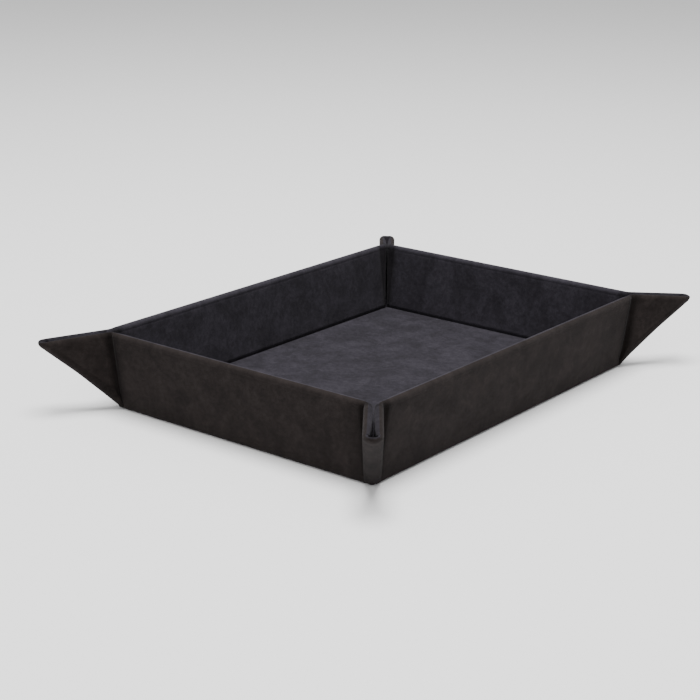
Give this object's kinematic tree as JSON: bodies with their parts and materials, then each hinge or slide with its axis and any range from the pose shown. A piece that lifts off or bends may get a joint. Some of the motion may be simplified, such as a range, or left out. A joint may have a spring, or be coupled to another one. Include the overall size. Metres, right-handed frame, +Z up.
{
  "type": "folding dice tray",
  "caption": "Low rectangular tray of soft fabric over stiff boards; its walls fold up from flat and each corner pinches outwards into a pointed ear shut by hidden magnets.",
  "frame": {"origin": "centre of the base's underside, where the tray stands on a table", "axes": "+X along the long side to the right, +Y to the back, +Z up; the front wall is at -Y"},
  "size_m": [0.2702, 0.1992, 0.0383],
  "materials": {
    "cover_fabric": "matte",
    "lining_fabric": "matte",
    "board": "matte",
    "magnet": "satin"
  },
  "bodies": {
    "base": {"base_cover": "cover_fabric", "base_board": "board", "base_lining": "lining_fabric", "crease_front": "cover_fabric", "crease_back": "cover_fabric", "crease_left": "cover_fabric", "crease_right": "cover_fabric"},
    "wall_front": {"wall_front_cover": "cover_fabric", "wall_front_board": "board", "wall_front_lining": "lining_fabric", "post_fr": "cover_fabric", "post_fl": "cover_fabric"},
    "wall_back": {"wall_back_cover": "cover_fabric", "wall_back_board": "board", "wall_back_lining": "lining_fabric", "post_br": "cover_fabric", "post_bl": "cover_fabric"},
    "wall_left": {"wall_left_cover": "cover_fabric", "wall_left_board": "board", "wall_left_lining": "lining_fabric"},
    "wall_right": {"wall_right_cover": "cover_fabric", "wall_right_board": "board", "wall_right_lining": "lining_fabric"},
    "ear_fr_long": {"ear_fr_long_cover": "cover_fabric", "ear_fr_long_board": "board", "ear_fr_long_lining": "lining_fabric", "ear_fr_long_magnet": "magnet", "fold_fr": "cover_fabric"},
    "ear_fr_short": {"ear_fr_short_cover": "cover_fabric", "ear_fr_short_board": "board", "ear_fr_short_lining": "lining_fabric", "ear_fr_short_magnet": "magnet"},
    "ear_fl_long": {"ear_fl_long_cover": "cover_fabric", "ear_fl_long_board": "board", "ear_fl_long_lining": "lining_fabric", "ear_fl_long_magnet": "magnet", "fold_fl": "cover_fabric"},
    "ear_fl_short": {"ear_fl_short_cover": "cover_fabric", "ear_fl_short_board": "board", "ear_fl_short_lining": "lining_fabric", "ear_fl_short_magnet": "magnet"},
    "ear_br_long": {"ear_br_long_cover": "cover_fabric", "ear_br_long_board": "board", "ear_br_long_lining": "lining_fabric", "ear_br_long_magnet": "magnet", "fold_br": "cover_fabric"},
    "ear_br_short": {"ear_br_short_cover": "cover_fabric", "ear_br_short_board": "board", "ear_br_short_lining": "lining_fabric", "ear_br_short_magnet": "magnet"},
    "ear_bl_long": {"ear_bl_long_cover": "cover_fabric", "ear_bl_long_board": "board", "ear_bl_long_lining": "lining_fabric", "ear_bl_long_magnet": "magnet", "fold_bl": "cover_fabric"},
    "ear_bl_short": {"ear_bl_short_cover": "cover_fabric", "ear_bl_short_board": "board", "ear_bl_short_lining": "lining_fabric", "ear_bl_short_magnet": "magnet"}
  },
  "joints": [
    {"name": "front_wall_fold", "type": "hinge", "parent": "base", "child": "wall_front", "pos_m": [0, -0.074, 0.002], "axis": [1, 0, 0], "range_deg": [0, 82], "deforming": ["crease_front"]},
    {"name": "back_wall_fold", "type": "hinge", "parent": "base", "child": "wall_back", "pos_m": [0, 0.074, 0.002], "axis": [-1, 0, 0], "range_deg": [0, 82], "deforming": ["crease_back"]},
    {"name": "left_wall_fold", "type": "hinge", "parent": "base", "child": "wall_left", "pos_m": [-0.103, 0, 0.002], "axis": [0, -1, 0], "range_deg": [0, 82], "deforming": ["crease_left"]},
    {"name": "right_wall_fold", "type": "hinge", "parent": "base", "child": "wall_right", "pos_m": [0.103, 0, 0.002], "axis": [0, 1, 0], "range_deg": [0, 82], "deforming": ["crease_right"]},
    {"name": "ear_fr_turn", "type": "hinge", "parent": "wall_front", "child": "ear_fr_long", "pos_m": [0.103, -0.07675, 0.02292], "axis": [0.1429, -0.196, 0.9701], "range_deg": [0, 38.21], "deforming": ["post_fr"]},
    {"name": "ear_fr_fold", "type": "hinge", "parent": "ear_fr_long", "child": "ear_fr_short", "pos_m": [0.11081, -0.07988, 0.01024], "axis": [-0.6142, 0.4628, -0.6392], "range_deg": [0, 179.82], "deforming": ["fold_fr"]},
    {"name": "ear_fl_turn", "type": "hinge", "parent": "wall_front", "child": "ear_fl_long", "pos_m": [-0.103, -0.07675, 0.02292], "axis": [0.1429, 0.196, -0.9701], "range_deg": [0, 38.21], "deforming": ["post_fl"]},
    {"name": "ear_fl_fold", "type": "hinge", "parent": "ear_fl_long", "child": "ear_fl_short", "pos_m": [-0.11081, -0.07988, 0.01024], "axis": [-0.6142, -0.4628, 0.6392], "range_deg": [0, 179.82], "deforming": ["fold_fl"]},
    {"name": "ear_br_turn", "type": "hinge", "parent": "wall_back", "child": "ear_br_long", "pos_m": [0.103, 0.07675, 0.02292], "axis": [-0.1429, -0.196, -0.9701], "range_deg": [0, 38.21], "deforming": ["post_br"]},
    {"name": "ear_br_fold", "type": "hinge", "parent": "ear_br_long", "child": "ear_br_short", "pos_m": [0.11081, 0.07988, 0.01024], "axis": [0.6142, 0.4628, 0.6392], "range_deg": [0, 179.82], "deforming": ["fold_br"]},
    {"name": "ear_bl_turn", "type": "hinge", "parent": "wall_back", "child": "ear_bl_long", "pos_m": [-0.103, 0.07675, 0.02292], "axis": [-0.1429, 0.196, 0.9701], "range_deg": [0, 38.21], "deforming": ["post_bl"]},
    {"name": "ear_bl_fold", "type": "hinge", "parent": "ear_bl_long", "child": "ear_bl_short", "pos_m": [-0.11081, 0.07988, 0.01024], "axis": [0.6142, -0.4628, -0.6392], "range_deg": [0, 179.82], "deforming": ["fold_bl"]}
  ],
  "couplings": [
    {"joint": "back_wall_fold", "follows": "front_wall_fold", "ratio": 1},
    {"joint": "left_wall_fold", "follows": "front_wall_fold", "ratio": 1},
    {"joint": "right_wall_fold", "follows": "front_wall_fold", "ratio": 1},
    {"joint": "ear_fr_turn", "follows": "front_wall_fold", "ratio": 0.46571},
    {"joint": "ear_fr_fold", "follows": "front_wall_fold", "ratio": 2.1927},
    {"joint": "ear_fl_turn", "follows": "front_wall_fold", "ratio": 0.46571},
    {"joint": "ear_fl_fold", "follows": "front_wall_fold", "ratio": 2.1927},
    {"joint": "ear_br_turn", "follows": "front_wall_fold", "ratio": 0.46571},
    {"joint": "ear_br_fold", "follows": "front_wall_fold", "ratio": 2.1927},
    {"joint": "ear_bl_turn", "follows": "front_wall_fold", "ratio": 0.46571},
    {"joint": "ear_bl_fold", "follows": "front_wall_fold", "ratio": 2.1927}
  ]
}
